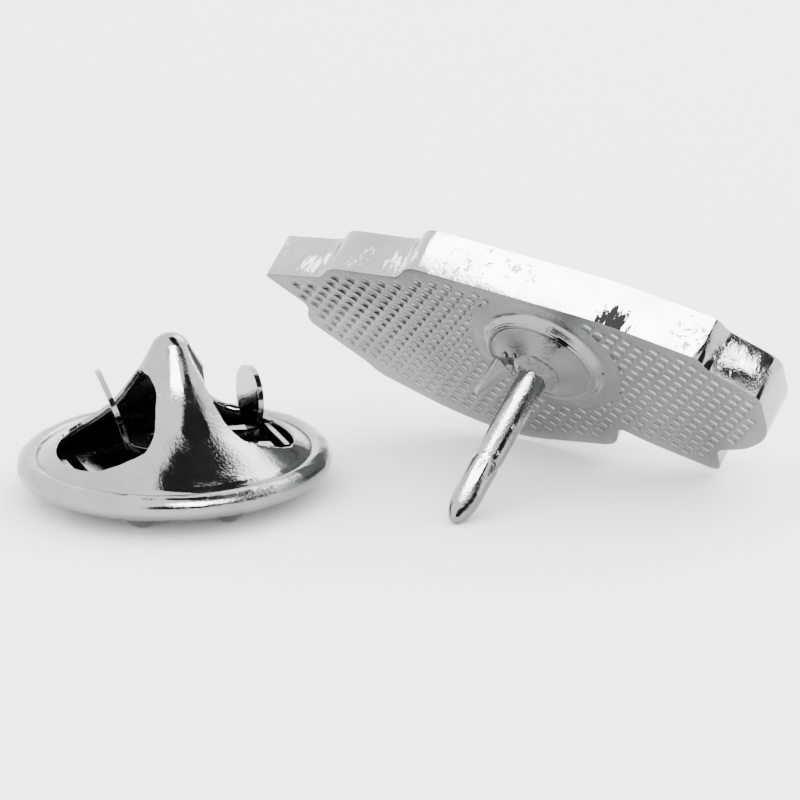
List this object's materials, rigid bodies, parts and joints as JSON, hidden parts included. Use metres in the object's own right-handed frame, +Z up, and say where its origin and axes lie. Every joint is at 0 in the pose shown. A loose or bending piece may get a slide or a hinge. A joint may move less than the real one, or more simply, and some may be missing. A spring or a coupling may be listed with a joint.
{
  "type": "tie tack",
  "caption": "Cast plaque with a nail post and anti-turn spur soldered to its waffled back, beside the bell-shaped butterfly clutch whose crossed spring leaves grip the post.",
  "frame": {"origin": "middle of the footprint of tack and clutch together, on the table", "axes": "+X from the clutch towards the round end of the plaque, +Y away from the nail post's tip, +Z up from the table"},
  "size_m": [0.0278, 0.0134, 0.0088],
  "materials": {
    "cast_plate": "satin silver plate over a cast back",
    "solder": "plated solder, uneven",
    "bright_plate": "polished silver plate",
    "clutch_plate": "polished nickel plate with fine orange peel",
    "spring_plate": "bright spring strip"
  },
  "bodies": {
    "tack": {"plaque": "cast_plate", "solder_bed": "solder", "post_pad": "bright_plate", "nail_post": "bright_plate", "root_solder": "solder"},
    "clutch": {"clutch_cap": "clutch_plate", "clutch_base_plate": "clutch_plate", "spring_base_strip": "spring_plate"},
    "left_wing": {"left_wing_leaf": "spring_plate"},
    "right_wing": {"right_wing_leaf": "spring_plate"}
  },
  "joints": [
    {"name": "clutch_lift", "type": "slide", "parent": "tack", "child": "clutch", "axis": [0, 0, 1], "range_m": [0, 0.02]},
    {"name": "left_wing_squeeze", "type": "slide", "parent": "clutch", "child": "left_wing", "axis": [0.9537, 0.3007, 0], "range_m": [0, 0.00032], "stiffness_N_per_m": 1500},
    {"name": "right_wing_squeeze", "type": "slide", "parent": "clutch", "child": "right_wing", "axis": [-0.9537, -0.3007, 0], "range_m": [0, 0.00032], "stiffness_N_per_m": 1500}
  ],
  "couplings": [
    {"joint": "right_wing_squeeze", "follows": "left_wing_squeeze", "ratio": 1}
  ]
}
